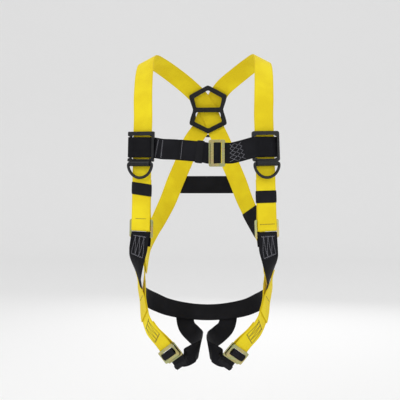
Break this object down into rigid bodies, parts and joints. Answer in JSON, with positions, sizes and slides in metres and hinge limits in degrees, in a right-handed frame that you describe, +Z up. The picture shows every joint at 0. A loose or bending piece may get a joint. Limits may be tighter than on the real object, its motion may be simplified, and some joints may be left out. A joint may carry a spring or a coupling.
{
  "type": "full body safety harness",
  "caption": "Full-body fall-arrest harness of woven webbing with dorsal pad and ring, chest rings, torso adjusters and pass-through buckles on chest and legs.",
  "frame": {"origin": "midway between the wearer's shoulders, at the height of the shoulder crowns of the webbing", "axes": "+Z up, -Y is the wearer's front, +X is the wearer's left"},
  "size_m": [0.3394, 0.3006, 0.729],
  "materials": {
    "yellow_webbing": "woven polyester webbing",
    "black_webbing": "woven polyester webbing",
    "black_elastic": "knitted elastic tape",
    "black_plastic": "moulded, semi-gloss",
    "coated_steel": "black coated forged steel",
    "zinc_steel": "yellow zinc-plated pressed steel"
  },
  "bodies": {
    "root": {"shoulder_strap_left": "yellow_webbing", "leg_strap_left": "yellow_webbing", "leg_strap_outer_ply_left": "yellow_webbing", "hip_connector_left": "black_webbing", "thigh_strap_left": "black_webbing", "leg_keeper_left": "black_elastic", "torso_adjuster_left": "zinc_steel", "leg_buckle_frame_left": "zinc_steel", "shoulder_strap_right": "yellow_webbing", "leg_strap_right": "yellow_webbing", "leg_strap_outer_ply_right": "yellow_webbing", "hip_connector_right": "black_webbing", "thigh_strap_right": "black_webbing", "leg_keeper_right": "black_elastic", "torso_adjuster_right": "zinc_steel", "leg_buckle_frame_right": "zinc_steel", "back_strap": "black_webbing", "seat_strap": "black_webbing", "label_sleeve": "black_elastic", "dorsal_pad": "black_plastic"},
    "chest_yoke": {"chest_frame_left": "black_plastic", "chest_frame_right": "black_plastic", "chest_strap_left": "black_webbing", "chest_strap_right": "black_webbing", "chest_buckle_frame": "zinc_steel"},
    "chest_tongue": {"chest_buckle_tongue": "zinc_steel"},
    "chest_keeper": {"chest_keeper": "black_elastic"},
    "chest_ring_left": {"chest_ring_left": "coated_steel"},
    "chest_ring_right": {"chest_ring_right": "coated_steel"},
    "strap_keeper_left": {"strap_keeper_left": "black_elastic"},
    "strap_keeper_right": {"strap_keeper_right": "black_elastic"},
    "leg_tongue_left": {"leg_buckle_tongue_left": "zinc_steel"},
    "leg_tongue_right": {"leg_buckle_tongue_right": "zinc_steel"},
    "dorsal_ring": {"dorsal_ring": "coated_steel"}
  },
  "joints": [
    {"name": "chest_slide", "type": "slide", "parent": "root", "child": "chest_yoke", "axis": [0, 0, 1], "range_m": [-0.015, 0.015]},
    {"name": "chest_tongue_tilt", "type": "hinge", "parent": "chest_yoke", "child": "chest_tongue", "pos_m": [0.0325, -0.1475, -0.2485], "axis": [0, 0, -1], "range_deg": [0, 6]},
    {"name": "chest_keeper_slide", "type": "slide", "parent": "chest_yoke", "child": "chest_keeper", "axis": [1, 0, 0], "range_m": [-0.006, 0.006]},
    {"name": "dorsal_ring_swing", "type": "hinge", "parent": "root", "child": "dorsal_ring", "pos_m": [0.004, 0.12114, -0.11614], "axis": [1, 0, 0], "range_deg": [0, 70]},
    {"name": "chest_ring_left_swing", "type": "hinge", "parent": "chest_yoke", "child": "chest_ring_left", "pos_m": [0.14013, -0.12412, -0.26883], "axis": [-0.9557, -0.2922, -0.0349], "range_deg": [-8, 140]},
    {"name": "strap_keeper_left_slide", "type": "slide", "parent": "root", "child": "strap_keeper_left", "axis": [-0.0334, -0.0102, 0.9994], "range_m": [-0.005, 0.01]},
    {"name": "leg_tongue_left_tilt", "type": "hinge", "parent": "root", "child": "leg_tongue_left", "pos_m": [0.0756, -0.118, -0.69], "axis": [0.5701, 0.6213, -0.5376], "range_deg": [0, 6]},
    {"name": "chest_ring_right_swing", "type": "hinge", "parent": "chest_yoke", "child": "chest_ring_right", "pos_m": [-0.13894, -0.12448, -0.26887], "axis": [-0.956, 0.2923, 0.0244], "range_deg": [-8, 140]},
    {"name": "strap_keeper_right_slide", "type": "slide", "parent": "root", "child": "strap_keeper_right", "axis": [0.0234, -0.0071, 0.9997], "range_m": [-0.012, 0.01]},
    {"name": "leg_tongue_right_tilt", "type": "hinge", "parent": "root", "child": "leg_tongue_right", "pos_m": [-0.0756, -0.118, -0.69], "axis": [0.5701, -0.6213, 0.5376], "range_deg": [0, 6]}
  ]
}
